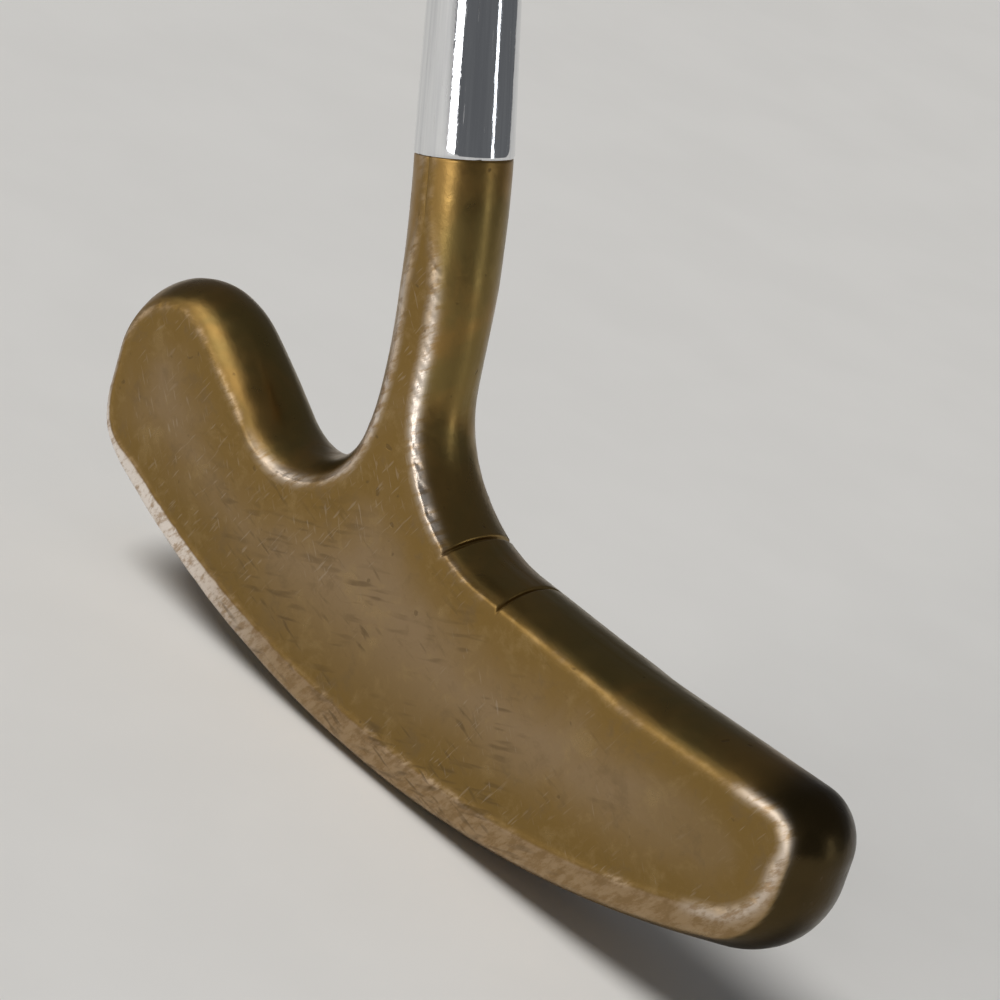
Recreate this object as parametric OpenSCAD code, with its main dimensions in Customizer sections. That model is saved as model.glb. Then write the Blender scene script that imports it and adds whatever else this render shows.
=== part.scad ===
// Reversible blade putter: a cast bronze head with a bent neck and a tapered post, a flare-tip
// steel shaft bonded over the post, and a leather-wrapped paddle grip. Millimetres, +Z up.
// The origin is the lowest point of the cambered sole, +X runs to the toe and -Y faces the ball.
// The shaft leans to the heel by 90 degrees less the lie angle.

/* [Club] */
// Length along the shaft axis, from the ground to the top of the grip cap
club_length = 889; // [800:1:950]
// Angle between the shaft and the ground
lie = 70; // [68:0.5:72]

/* [Blade] */
// Radius of the sole's rocker, seen from the front
sole_radius = 132; // [120:1:150]
// Height of the top line beside the neck
top_line_z = 30.8; // [30:0.1:32]
// Half-thickness of the blade where each face meets the top line
half_thickness = 5.7; // [5:0.1:6.5]
// Loft of each of the two striking faces
loft = 3; // [1:0.5:4]
// Distance between the two sight lines cut across the top
sight_pitch = 9.2; // [8:0.1:12]

/* [Neck] */
// Distance of the neck's upper end from the sole's middle, towards the heel
neck_top_x = -19.5; // [-21:0.5:-18]
// Height of the neck's upper end, where the shaft begins
neck_top_z = 69.2; // [66:0.1:72]
// Radius of the round end of the neck
neck_radius = 5.6; // [5.4:0.05:5.7]
// Bend of the neck to the heel, as one over twice its radius
neck_bend = 0.0041; // [0.002:0.0001:0.005]
// Length of the tapered post inside the shaft
post_length = 28; // [20:1:32]

/* [Shaft] */
// Outer diameter of the flared tip
tip_diameter = 11.43; // [11.2:0.01:12]
// Outer diameter of the slim part above the flare
slim_diameter = 9.4; // [9:0.05:10]
// Outer diameter of the butt, under the grip
butt_diameter = 14.73; // [14:0.01:15.5]
// Wall of the tube
wall = 0.65; // [0.5:0.05:1]
// Length of the flare
flare_length = 43; // [38:1:48]
// Number of steps in the tube
step_count = 12; // [6:1:12]
// Distance from one step to the next
step_pitch = 30; // [24:1:32]

/* [Grip] */
// Length of the leather, from the collar to the cap
grip_length = 256; // [230:1:265]
// Radius of the grip at the cap
grip_butt_radius = 13.0; // [12:0.1:14]
// Radius of the grip at the collar
grip_low_radius = 9.6; // [9.4:0.1:9.8]
// Distance of the thumb flat from the shaft's axis
flat_distance = 9.7; // [9.6:0.1:12.5]
// Thickness of the leather strip
leather = 1.2; // [1:0.1:1.3]

/* [Hidden] */
$fn = 96;

BRONZE = [0.42, 0.30, 0.14];
CHROME = [0.80, 0.81, 0.83];
RESIN = [0.78, 0.70, 0.45];
WOOD = [0.62, 0.45, 0.27];
PAPER = [0.86, 0.82, 0.70];
RUBBER = [0.10, 0.10, 0.11];
LEATHER = [0.16, 0.10, 0.07];
THREAD = [0.30, 0.10, 0.08];
PLASTIC = [0.05, 0.05, 0.06];
STEEL = [0.60, 0.60, 0.62];

// ---- small vector helpers, in the XZ plane ----
function unit(v) = v / norm(v);
function mix(a, b, f) = a + (b - a) * f;
function ease(f) = f <= 0 ? 0 : f >= 1 ? 1 : f * f * (3 - 2 * f);
function left_of(v) = [-v[1], v[0]];
function cross2(a, b) = a[0] * b[1] - a[1] * b[0];
// Point on the line through p along d whose height is z.
function at_height(p, d, z) = p + d * (z - p[1]) / d[1];

// ---- neck: a gently bent bar, measured down from its upper end ----
NECK_LENGTH = 26;
NECK_STEPS = 10;
neck_top = [neck_top_x, neck_top_z];
shaft_up = [-cos(lie), sin(lie)];
across = [sin(lie), cos(lie)];
function neck_side(side, down) =
    neck_top + across * (side * neck_radius - neck_bend * down * down) - shaft_up * down;
function neck_run(down) = unit(-across * 2 * neck_bend * down - shaft_up);
// Inset of the flat facet's edge from the neck's side: nearly the whole radius where it is round.
function neck_inset(down) = mix(0.89 * neck_radius, 3.4, ease((down - 5) / 11));

// ---- thickness: lofted faces, thicker towards the sole, and the round neck ----
FACE_TOP_Z = 29;
function plane_half(z) = half_thickness + (FACE_TOP_Z - z) * tan(loft);
function neck_half(down, z) =
    let (round_half = 0.994 * neck_radius, facet_half = 5.15)
    mix(mix(round_half, facet_half, ease((down - 5) / 11)), plane_half(z), ease((down - 14) / 12));

// ---- outline of the blade: [corner], corner radius, rise of the crown, height of the bevel ----
right_end = neck_side(1, NECK_LENGTH);
left_end = neck_side(-1, NECK_LENGTH);
run_end = neck_run(NECK_LENGTH);
SOLE_ARC_X = 50.0;
sole_turn = asin(SOLE_ARC_X / sole_radius);
function sole_line(x) = [x, sole_radius * (1 - 1 / cos(sole_turn)) + abs(x) * tan(sole_turn)];
TOE_X = 61.3;
HEEL_X = -57.2;
corners = [
    [right_end, 0, 4.4, 0],
    [at_height(right_end, run_end, top_line_z), 16, 2.1, 0],
    [[27, top_line_z - 0.2], 120, 1.8, 0],
    [[TOE_X - 0.8, top_line_z + 2.0], 6.5, 3.2, 0.2],
    [sole_line(TOE_X), 12, 2.6, 2.2],
    [sole_line(0), sole_radius, 1.2, 4.4],
    [sole_line(HEEL_X), 12.5, 1.1, 1.0],
    [[-60.0, 38.0], 11, 2.6, 0.2],
    [[-43.5, 37.0], 14, 4.0, 0],
    [[-37.0, 33.3], 60, 4.2, 0],
    [[-18.4, 20.1], 8.3, 2.8, 0],
    [at_height(left_end, run_end, 38.6), 25, 3.3, 0],
    [left_end, 0, 3.5, 0]
];

// Stations are [x, z, outward x, outward z, crown, bevel].
function corner_steps(r, turn) = 2 * max(2, ceil(sqrt(r) * abs(turn) / 34));
function corner_arc(i) =
    let (here = corners[i], r = here[1],
         din = unit(here[0] - corners[i - 1][0]), dout = unit(corners[i + 1][0] - here[0]),
         turn = atan2(cross2(din, dout), din * dout), side = sign(turn),
         centre = here[0] - din * r * tan(abs(turn) / 2) + left_of(din) * r * side,
         n = corner_steps(r, turn))
    [for (k = [0:n])
        let (f = k / n, a = turn * f, out = left_of(din) * cos(a) - din * sin(a),
             q = centre - out * r * side,
             from = f < 0.5 ? corners[i - 1] : corners[i + 1],
             g = f < 0.5 ? 0.5 - f : f - 0.5)
        [q[0], q[1], out[0], out[1], mix(here[2], from[2], g), mix(here[3], from[3], g)]];

// ---- sight lines: two shallow notches across the top ----
SIGHT_WIDTH = 0.35;
SIGHT_DEPTH = 0.5;
sight_x = [2.1, 2.1 + sight_pitch];
function on_top(s) = s[1] > 20 && s[3] > 0.5;
function near_sight(s) = on_top(s) && min([for (x = sight_x) abs(s[0] - x)]) < 0.6;
function station_at(a, b, x, depth) =
    let (m = mix(a, b, (x - a[0]) / (b[0] - a[0])))
    [m[0], m[1] - depth, m[2], m[3], m[4], m[5]];
blade_plain = [for (i = [1:len(corners) - 2]) for (s = corner_arc(i)) if (!near_sight(s)) s];
blade_stations = [
    for (i = [0:len(blade_plain) - 1])
        let (a = blade_plain[i], b = blade_plain[min(i + 1, len(blade_plain) - 1)],
             cuts = [for (x = sight_x) if (on_top(a) && a[0] < x && b[0] > x) x])
        for (s = concat([a], [for (x = cuts) for (k = [-1:1])
                 station_at(a, b, x + k * SIGHT_WIDTH, k == 0 ? SIGHT_DEPTH : 0)]))
            s];
function neck_stations(side) =
    [for (j = [0:NECK_STEPS])
        let (k = side > 0 ? j : NECK_STEPS - j, down = NECK_LENGTH * k / NECK_STEPS,
             p = neck_side(side, down), out = left_of(neck_run(down)) * side)
        [p[0], p[1], out[0], out[1], neck_inset(down), 0, down]];
stations = concat(neck_stations(1), blade_stations, neck_stations(-1));
COUNT = len(stations);

// ---- cross-section at a station: crown from the middle plane, then the bevel to the face ----
CROWN_STEPS = 6;
BEVEL_TAN = 0.25;
RINGS = CROWN_STEPS + 1;
function face_z(s) = s[1] - s[3] * (s[4] + s[5]);
function face_half(s) = s[6] == undef ? plane_half(face_z(s)) : neck_half(s[6], face_z(s));
function section(s, k) =
    let (half = face_half(s), crown_half = half - s[5] * BEVEL_TAN,
         r = (crown_half * crown_half + s[4] * s[4]) / (2 * s[4]),
         a = asin(min(1, crown_half / r)) * min(k, CROWN_STEPS) / CROWN_STEPS)
    k > CROWN_STEPS ? [s[4] + s[5], half] : [r * (1 - cos(a)), r * sin(a)];
function ring_point(i, k) =
    let (s = stations[i], c = section(s, abs(k)))
    [s[0] - s[2] * c[0], sign(k) * c[1], s[1] - s[3] * c[0]];
// Rings run from the front face (-RINGS) to the back face (+RINGS).
points = [for (k = [-RINGS:RINGS]) for (i = [0:COUNT - 1]) ring_point(i, k)];
function at(k, i) = (k + RINGS) * COUNT + i;
LAST = COUNT - 1;
skin = [for (k = [-RINGS:RINGS - 1]) for (i = [0:LAST - 1]) for (h = [0:1])
    h == 0 ? [at(k, i), at(k, i + 1), at(k + 1, i + 1)] : [at(k, i), at(k + 1, i + 1), at(k + 1, i)]];
function facet(k) = [for (j = [0:NECK_STEPS - 1]) for (h = [0:1])
    h == 0 ? [at(k, j), at(k, j + 1), at(k, LAST - j)]
    : [at(k, j + 1), at(k, LAST - j - 1), at(k, LAST - j)]];
function flipped(faces) = [for (f = faces) [for (j = [len(f) - 1:-1:0]) f[j]]];
blade_face = [for (i = [NECK_STEPS:LAST - NECK_STEPS]) i];
top_cut = concat([for (k = [-RINGS:RINGS]) at(k, 0)], [for (k = [RINGS:-1:-RINGS]) at(k, LAST)]);
faces = concat(
    flipped(skin),
    flipped(facet(RINGS)),
    facet(-RINGS),
    [[for (j = [len(blade_face) - 1:-1:0]) at(RINGS, blade_face[j])]],
    [[for (i = blade_face) at(-RINGS, i)]],
    flipped([top_cut])
);

// ---- shaft frame: z' up the shaft from the neck's upper end, x' towards the toe ----
shaft_angle = 90 - lie;
module up_the_shaft() {
    translate([neck_top_x, 0, neck_top_z])
        rotate([0, -shaft_angle, 0])
            children();
}

tip_radius = tip_diameter / 2;
slim_radius = slim_diameter / 2;
butt_radius = butt_diameter / 2;
cap_height = 4;
shaft_length = club_length - neck_top_z / sin(lie) - cap_height;
function flare_radius(z) = mix(tip_radius, slim_radius, min(z / flare_length, 1));
BOND = 0.15;
function bore_radius(z) = flare_radius(z) - wall;
BUTT_SECTION = 290;
first_step = shaft_length - BUTT_SECTION - (step_count - 1) * step_pitch;
step_rise = (butt_radius - slim_radius) / step_count;
STEP_BLEND = 1.2;
function tube_profile(inset) = concat(
    [[tip_radius - inset, 0], [slim_radius - inset, flare_length]],
    [for (k = [0:step_count - 1]) for (e = [0:1])
        [slim_radius - inset + (k + e) * step_rise, first_step + k * step_pitch + e * STEP_BLEND]],
    [[butt_radius - inset, shaft_length]]
);
function backwards(list) = [for (j = [len(list) - 1:-1:0]) list[j]];

// ---- grip stations along the shaft ----
grip_top = shaft_length;
grip_low = grip_top - grip_length;
TAPE = 0.4;
tape_radius = butt_radius + TAPE;
BINDING_LENGTH = 9;
binding_radius = grip_low_radius + 0.9;
COLLAR_BELOW = 16;
COLLAR_ABOVE = 7;
PLUG_LENGTH = 30;
SCREW_RADIUS = 1.75;
SCREW_REACH = 18;
SCREW_HEAD = 3.6;
CAP_OVERHANG = 0.6;
// Radius of the grip at a height above the neck.
function grip_radius(z) = mix(grip_low_radius, grip_butt_radius, (z - grip_low) / grip_length);

// A round taper between two heights.
module taper(z0, r0, z1, r1) {
    translate([0, 0, z0])
        cylinder(h = z1 - z0, r1 = r0, r2 = r1);
}

// A solid of revolution about the shaft from a list of [radius, height].
module turned(profile) {
    rotate_extrude()
        polygon(profile);
}

// Half-space beyond the thumb flat, as a block.
module beyond_flat(distance, z0, z1) {
    translate([distance, -20, z0])
        cube([20, 40, z1 - z0]);
}

// The tapered grip with its thumb flat, less the given depth all round.
module grip_body(depth) {
    difference() {
        taper(grip_low, grip_low_radius - depth, grip_top, grip_butt_radius - depth);
        beyond_flat(flat_distance - depth, grip_low - 1, grip_top + 1);
    }
}

module head() {
    color(BRONZE)
    union() {
        polyhedron(points = points, faces = faces, convexity = 6);
        up_the_shaft()
            taper(-6, bore_radius(-6) - BOND, post_length, bore_radius(post_length) - BOND);
    }
}

module post_adhesive() {
    color(RESIN)
    up_the_shaft()
        turned([
            [bore_radius(0) - BOND, 0],
            [bore_radius(0), 0],
            [bore_radius(post_length), post_length],
            [bore_radius(post_length) - BOND, post_length]
        ]);
}

module shaft() {
    color(CHROME)
    up_the_shaft()
        turned(concat(tube_profile(0), backwards(tube_profile(wall))));
}

module butt_plug() {
    color(WOOD)
    up_the_shaft()
        difference() {
            taper(shaft_length - PLUG_LENGTH, butt_radius - wall, shaft_length, butt_radius - wall);
            taper(shaft_length - SCREW_REACH, SCREW_RADIUS, shaft_length + 1, SCREW_RADIUS);
        }
}

module grip_tape() {
    color(PAPER)
    up_the_shaft()
        difference() {
            taper(grip_low, tape_radius, grip_top, tape_radius);
            taper(grip_low - 1, butt_radius, grip_top + 1, butt_radius);
        }
}

module underlisting() {
    color(RUBBER)
    up_the_shaft()
        difference() {
            grip_body(leather);
            taper(grip_low - 1, tape_radius, grip_top + 1, tape_radius);
        }
}

module leather_wrap() {
    color(LEATHER)
    up_the_shaft()
        difference() {
            grip_body(0);
            grip_body(leather);
        }
}

module thread_binding() {
    color(THREAD)
    up_the_shaft()
        difference() {
            taper(grip_low, binding_radius, grip_low + BINDING_LENGTH, binding_radius);
            grip_body(0);
        }
}

module grip_collar() {
    color(PLASTIC)
    up_the_shaft()
        turned([
            [butt_radius, grip_low - COLLAR_BELOW],
            [butt_radius + 0.7, grip_low - COLLAR_BELOW],
            [butt_radius + 1.6, grip_low - COLLAR_BELOW + 6],
            [binding_radius + 0.7, grip_low - 1],
            [binding_radius + 1.0, grip_low + 2],
            [binding_radius + 0.9, grip_low + COLLAR_ABOVE - 0.6],
            [binding_radius + 0.4, grip_low + COLLAR_ABOVE],
            [binding_radius, grip_low + COLLAR_ABOVE],
            [binding_radius, grip_low],
            [butt_radius, grip_low]
        ]);
}

module end_cap() {
    rim = grip_butt_radius + CAP_OVERHANG;
    color(PLASTIC)
    up_the_shaft()
        translate([0, 0, shaft_length])
            difference() {
                turned([
                    [SCREW_RADIUS, 0],
                    [rim - 0.3, 0],
                    [rim, 0.3],
                    [rim, 2.4],
                    [rim - 0.8, 3.4],
                    [rim - 3.2, cap_height],
                    [SCREW_HEAD, cap_height],
                    [SCREW_RADIUS, cap_height - 1.8]
                ]);
                beyond_flat(flat_distance + CAP_OVERHANG, -1, cap_height + 1);
            }
}

module cap_screw() {
    color(STEEL)
    up_the_shaft()
        translate([0, 0, shaft_length])
            difference() {
                turned([
                    [0, -SCREW_REACH],
                    [0.6, -SCREW_REACH],
                    [SCREW_RADIUS, 3 - SCREW_REACH],
                    [SCREW_RADIUS, cap_height - 1.8],
                    [SCREW_HEAD, cap_height],
                    [0, cap_height]
                ]);
                translate([-5, -0.45, cap_height - 0.9])
                    cube([10, 0.9, 2]);
            }
}

head();
post_adhesive();
shaft();
butt_plug();
grip_tape();
underlisting();
leather_wrap();
thread_binding();
grip_collar();
end_cap();
cap_screw();
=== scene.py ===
import math

import bmesh
import bpy
import numpy as np
from mathutils import Matrix, Vector
from mathutils.geometry import delaunay_2d_cdt


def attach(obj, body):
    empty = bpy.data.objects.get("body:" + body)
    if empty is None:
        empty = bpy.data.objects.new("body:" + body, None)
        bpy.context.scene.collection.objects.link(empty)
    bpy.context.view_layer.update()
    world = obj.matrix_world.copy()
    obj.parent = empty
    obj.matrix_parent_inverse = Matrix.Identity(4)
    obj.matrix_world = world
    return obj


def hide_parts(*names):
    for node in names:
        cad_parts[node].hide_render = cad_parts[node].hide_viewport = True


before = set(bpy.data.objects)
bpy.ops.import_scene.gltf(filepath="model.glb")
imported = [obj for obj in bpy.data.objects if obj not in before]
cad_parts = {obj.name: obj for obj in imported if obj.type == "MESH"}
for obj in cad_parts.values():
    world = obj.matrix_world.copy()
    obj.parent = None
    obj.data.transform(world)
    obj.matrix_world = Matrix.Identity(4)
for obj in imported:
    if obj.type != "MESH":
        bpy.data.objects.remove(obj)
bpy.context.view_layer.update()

MM = 0.001

# ------------------------------------------------------------------ club dimensions, mm and degrees
LIE = math.radians(70)
LOFT_TAN = math.tan(math.radians(3))
NECK_TOP = np.array([-19.5, 69.2])  # x and z of the middle of the neck's flat end
NECK_R = 5.6
NECK_BEND = 0.0041  # sideways run over the square of the distance down the neck
NECK_LENGTH = 26.0
POST_LENGTH = 28.0
HALF_THICKNESS = 5.7
FACE_TOP_Z = 29.0
TOP_LINE_Z = 30.8
SOLE_R = 132.0
BEVEL_TAN = 0.25
SOLE_TANGENT_X = 50.0
SIGHT_X = (2.1, 11.3)
SIGHT_REACH, SIGHT_DEPTH, SIGHT_WIDTH = 0.6, 0.52, 0.2
TOP_ABOVE = 25  # stations higher than this are on the top line, not on the sole

# the round neck turns flat-sided, then takes the thickness of the blade
ROUND_INSET, FLAT_INSET = 0.89 * NECK_R, 3.4
ROUND_HALF, FLAT_HALF = 0.994 * NECK_R, 5.15
FLAT_FROM, FLAT_RUN = 5, 11
BLADE_FROM, BLADE_RUN = 14, 12

CLUB_LENGTH = 889.0
CAP_HEIGHT = 4.0
SHAFT_LENGTH = CLUB_LENGTH - NECK_TOP[1] / math.sin(LIE) - CAP_HEIGHT
TIP_R, SLIM_R, BUTT_R, WALL = 5.715, 4.7, 7.365, 0.65
FLARE_LENGTH = 43.0
STEPS, STEP_PITCH, BUTT_SECTION, STEP_BLEND = 12, 30.0, 290.0, 1.2
FIRST_STEP = SHAFT_LENGTH - BUTT_SECTION - (STEPS - 1) * STEP_PITCH
ADHESIVE = 0.15

GRIP_LENGTH = 256.0
GRIP_LOW = SHAFT_LENGTH - GRIP_LENGTH
GRIP_R_LOW, GRIP_R_TOP, GRIP_FLAT, LEATHER = 9.6, 13.0, 9.7, 1.2
BINDING_R = GRIP_R_LOW + 0.9

shaft_frame = Matrix((
    (math.sin(LIE), 0, -math.cos(LIE), NECK_TOP[0] * MM),
    (0, 1, 0, 0),
    (math.cos(LIE), 0, math.sin(LIE), NECK_TOP[1] * MM),
    (0, 0, 0, 1)))


# ------------------------------------------------------------------ mesh helpers
def new_object(name, verts, faces, matrix=None):
    mesh = bpy.data.meshes.new(name)
    mesh.from_pydata([tuple(v) for v in np.asarray(verts) * MM], [], faces)
    mesh.validate()
    obj = bpy.data.objects.new(name, mesh)
    bpy.context.scene.collection.objects.link(obj)
    if matrix is not None:
        obj.matrix_world = matrix
    bm = bmesh.new()
    bm.from_mesh(mesh)
    bmesh.ops.recalc_face_normals(bm, faces=bm.faces)
    for face in bm.faces:
        face.smooth = True
    bm.to_mesh(mesh)
    bm.free()
    return obj


def smooth_by_angle(obj, degrees):
    bm = bmesh.new()
    bm.from_mesh(obj.data)
    for edge in bm.edges:
        if len(edge.link_faces) == 2:
            edge.smooth = edge.calc_face_angle(0) < math.radians(degrees)
    bm.to_mesh(obj.data)
    bm.free()


def ease(f):
    f = np.clip(f, 0, 1)
    return f * f * (3 - 2 * f)


def ramp(values, start, length):
    """Eases from 0 at start to 1 a length further on; a negative length runs the other way."""
    return ease((values - start) / length)


def band(lower, upper, count):
    """Quads between two closed rings of count vertices, given the first vertex of each."""
    return [(lower + i, lower + (i + 1) % count, upper + (i + 1) % count, upper + i)
            for i in range(count)]


def smooth_noise(x, wavelength, seed):
    """Value noise along a line, 0 to 1, with the given wavelength."""
    size = 4096
    table = np.random.default_rng(seed).random(size)
    t = np.asarray(x, float) / wavelength + 1000
    i = np.floor(t).astype(int)
    f = ease(t - i)
    return table[i % size] * (1 - f) + table[(i + 1) % size] * f


def turned(name, profile, segments, matrix=shaft_frame, closed=True):
    """A solid of revolution about local Z from a list of (radius, height).

    A closed profile makes a ring; an open one makes a solid with a flat face at each end.
    """
    n = len(profile)
    angles = np.arange(segments) * 2 * math.pi / segments
    verts = [(r * math.cos(a), r * math.sin(a), z) for a in angles for r, z in profile]
    faces = []
    last = n if closed else n - 1
    for s in range(segments):
        t = (s + 1) % segments
        for k in range(last):
            m = (k + 1) % n
            faces.append((s * n + k, t * n + k, t * n + m, s * n + m))
    if not closed:
        faces += [tuple(s * n + end for s in range(segments)) for end in (0, n - 1)]
    return new_object(name, verts, faces, matrix)


def rounded(profile, radius, steps=4):
    """Rounds each corner of a closed (radius, height) profile."""
    out = []
    n = len(profile)
    for i in range(n):
        p = np.array(profile[i], float)
        a = np.array(profile[i - 1], float) - p
        b = np.array(profile[(i + 1) % n], float) - p
        la, lb = np.linalg.norm(a), np.linalg.norm(b)
        d = min(radius, la * 0.45, lb * 0.45)
        p0, p2 = p + a / la * d, p + b / lb * d
        for k in range(steps + 1):
            t = k / steps
            out.append(tuple(p0 * (1 - t) ** 2 + 2 * t * (1 - t) * p + p2 * t * t))
    return out


# ------------------------------------------------------------------ head: outline
UP = np.array([-math.cos(LIE), math.sin(LIE)])
ACROSS = np.array([math.sin(LIE), math.cos(LIE)])


def unit(v):
    return v / np.linalg.norm(v)


def left_of(v):
    return np.array([-v[1], v[0]])


def neck_side(side, down):
    return NECK_TOP + ACROSS * (side * NECK_R - NECK_BEND * down * down) - UP * down


def neck_run(down):
    return unit(-ACROSS * 2 * NECK_BEND * down - UP)


def at_height(p, d, z):
    return p + d * (z - p[1]) / d[1]


def neck_inset(down):
    return ROUND_INSET + (FLAT_INSET - ROUND_INSET) * ramp(down, FLAT_FROM, FLAT_RUN)


def plane_half(z):
    return HALF_THICKNESS + (FACE_TOP_Z - z) * LOFT_TAN


def neck_half(down, z):
    a = ROUND_HALF + (FLAT_HALF - ROUND_HALF) * ramp(down, FLAT_FROM, FLAT_RUN)
    return a + (plane_half(z) - a) * ramp(down, BLADE_FROM, BLADE_RUN)


def sole_line(x):
    turn = math.asin(SOLE_TANGENT_X / SOLE_R)
    return np.array([x, SOLE_R * (1 - 1 / math.cos(turn)) + abs(x) * math.tan(turn)])


RIGHT_END, LEFT_END = neck_side(1, NECK_LENGTH), neck_side(-1, NECK_LENGTH)
RUN_END = neck_run(NECK_LENGTH)
# corner point, corner radius, rise of the crown, height of the bevel
CORNERS = [
    (RIGHT_END, 0, 4.4, 0),
    (at_height(RIGHT_END, RUN_END, TOP_LINE_Z), 16, 2.1, 0),
    (np.array([27, TOP_LINE_Z - 0.2]), 120, 1.8, 0),
    (np.array([60.5, TOP_LINE_Z + 2.0]), 6.5, 3.2, 0.2),
    (sole_line(61.3), 12, 2.6, 2.2),
    (sole_line(0), SOLE_R, 1.2, 4.4),
    (sole_line(-57.2), 12.5, 1.1, 1.0),
    (np.array([-60.0, 38.0]), 11, 2.6, 0.2),
    (np.array([-43.5, 37.0]), 14, 4.0, 0),
    (np.array([-37.0, 33.3]), 60, 4.2, 0),
    (np.array([-18.4, 20.1]), 8.3, 2.8, 0),
    (at_height(LEFT_END, RUN_END, 38.6), 25, 3.3, 0),
    (LEFT_END, 0, 3.5, 0)]


ARC_STEP, FINE_STEP = 0.08, 0.05
BLEND_SIGMA, BLEND_REACH = 1.6, 120  # in mm, and in fine steps


def corner_arc(i):
    """Finely spaced stations [x, z, crown, bevel] round one corner."""
    p, r, crown, bevel = CORNERS[i]
    before, after = CORNERS[i - 1], CORNERS[i + 1]
    d_in, d_out = unit(p - before[0]), unit(after[0] - p)
    turn = math.atan2(d_in[0] * d_out[1] - d_in[1] * d_out[0], float(d_in @ d_out))
    side = 1 if turn > 0 else -1
    centre = p - d_in * r * math.tan(abs(turn) / 2) + left_of(d_in) * r * side
    n = max(8, int(r * abs(turn) / ARC_STEP))
    rows = []
    for k in range(n + 1):
        f = k / n
        a = turn * f
        out = left_of(d_in) * math.cos(a) - d_in * math.sin(a)
        q = centre - out * r * side
        other, g = (before, 0.5 - f) if f < 0.5 else (after, f - 0.5)
        rows.append([q[0], q[1], crown + (other[2] - crown) * g, bevel + (other[3] - bevel) * g])
    return rows


def blade_stations(pitch):
    """Stations evenly spaced along the blade, closer at the sighting lines, and their places.

    Each is [x, z, out x, out z, crown, bevel, groove depth, -1]; -1 says it isn't on the neck.
    """
    rows = [[*RIGHT_END, neck_inset(NECK_LENGTH), 0]]
    for i in range(1, len(CORNERS) - 1):
        rows += corner_arc(i)
    rows.append([*LEFT_END, neck_inset(NECK_LENGTH), 0])
    rows = np.array(rows)
    s = np.concatenate([[0], np.cumsum(np.hypot(*np.diff(rows[:, :2], axis=0).T))])
    fine = np.arange(0, s[-1], FINE_STEP)
    x, z, crown, bevel = (np.interp(fine, s, rows[:, k]) for k in range(4))
    # the crown and the bevel change gently along the outline
    offsets = np.arange(-BLEND_REACH, BLEND_REACH + 1) * FINE_STEP
    kernel = np.exp(-0.5 * (offsets / BLEND_SIGMA) ** 2)
    kernel /= kernel.sum()
    for values in (crown, bevel):
        padded = np.pad(values, BLEND_REACH, mode="edge")
        values[:] = np.convolve(padded, kernel, mode="valid")
    on_top = (z > TOP_ABOVE) & (x > -2) & (x < 20)
    marks = list(np.arange(0, fine[-1], pitch))
    for sx in SIGHT_X:
        centre = fine[on_top][np.argmin(np.abs(x[on_top] - sx))]
        marks = [m for m in marks if abs(m - centre) > SIGHT_REACH + 0.02]
        marks += list(centre + np.linspace(-SIGHT_REACH, SIGHT_REACH, 17))
    marks = np.array(sorted(marks + [fine[-1]]))
    cols = [np.interp(marks, fine, v) for v in (x, z, crown, bevel)]
    step = 0.12
    tx = np.interp(marks + step, fine, x) - np.interp(marks - step, fine, x)
    tz = np.interp(marks + step, fine, z) - np.interp(marks - step, fine, z)
    length = np.hypot(tx, tz)
    ox, oz = -tz / length, tx / length
    ox[0], oz[0] = left_of(RUN_END)
    ox[-1], oz[-1] = -left_of(RUN_END)
    groove = np.zeros(len(marks))
    for sx in SIGHT_X:
        near = np.abs(cols[0] - sx)
        hit = (cols[1] > TOP_ABOVE) & (near < SIGHT_REACH)
        groove += np.where(hit, SIGHT_DEPTH * np.exp(-(near / SIGHT_WIDTH) ** 2), 0)
    off_neck = np.full(len(marks), -1.0)
    return np.stack([cols[0], cols[1], ox, oz, cols[2], cols[3], groove, off_neck], 1), marks


# distances down the neck, close together at its rounded rim
NECK_MARKS = np.concatenate([[0, 0.03, 0.08, 0.16, 0.27, 0.45], np.linspace(0.8, NECK_LENGTH, 66)])


def neck_stations(side):
    """Stations like the blade's down one side of the neck, ending with the distance down it."""
    rows = []
    for down in NECK_MARKS:
        p, out = neck_side(side, down), left_of(neck_run(down)) * side
        rows.append([*p, *out, neck_inset(down), 0, 0, down])
    return np.array(rows if side > 0 else rows[::-1])


blade, blade_marks = blade_stations(0.36)
right, left = neck_stations(1), neck_stations(-1)
stations = np.concatenate([right[:-1], blade, left[1:]])
along = np.concatenate([blade_marks[0] - (NECK_LENGTH - right[:-1, 7]), blade_marks,
                        blade_marks[-1] + (NECK_LENGTH - left[1:, 7])])
COUNT = len(stations)
NECK_N = len(NECK_MARKS) - 1

# ------------------------------------------------------------------ head: cross-sections
# Distances from the face's edge at which rings lie: positive on the crown, negative on the face.
INNER_GAP = 1.1
RING_GAPS = np.array([5.15, 4.7, 4.3, 3.9, 3.5, 3.1, 2.7, 2.3, 1.9, 1.55, 1.25, 1.0, 0.78, 0.58,
                      0.42, 0.28, 0.16, 0.06, -0.04, -0.14, -0.26, -0.42, -0.65, -INNER_GAP])
CENTRE_RINGS = 6

px, pz, ox, oz, crown, bevel, groove, down = stations.T
in_neck = down >= 0
edge_inset = crown + bevel
edge_z = pz - oz * edge_inset
half = np.where(in_neck, neck_half(np.maximum(down, 0), edge_z), plane_half(edge_z))
crown_half = half - bevel * BEVEL_TAN
arc_r = (crown_half ** 2 + crown ** 2) / (2 * crown)
arc_end = arc_r * np.arcsin(np.minimum(1, crown_half / arc_r))
bevel_length = np.hypot(bevel, half - crown_half)
edge_s = arc_end + bevel_length
face_rise = np.where(in_neck, 0, oz * LOFT_TAN)


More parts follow.
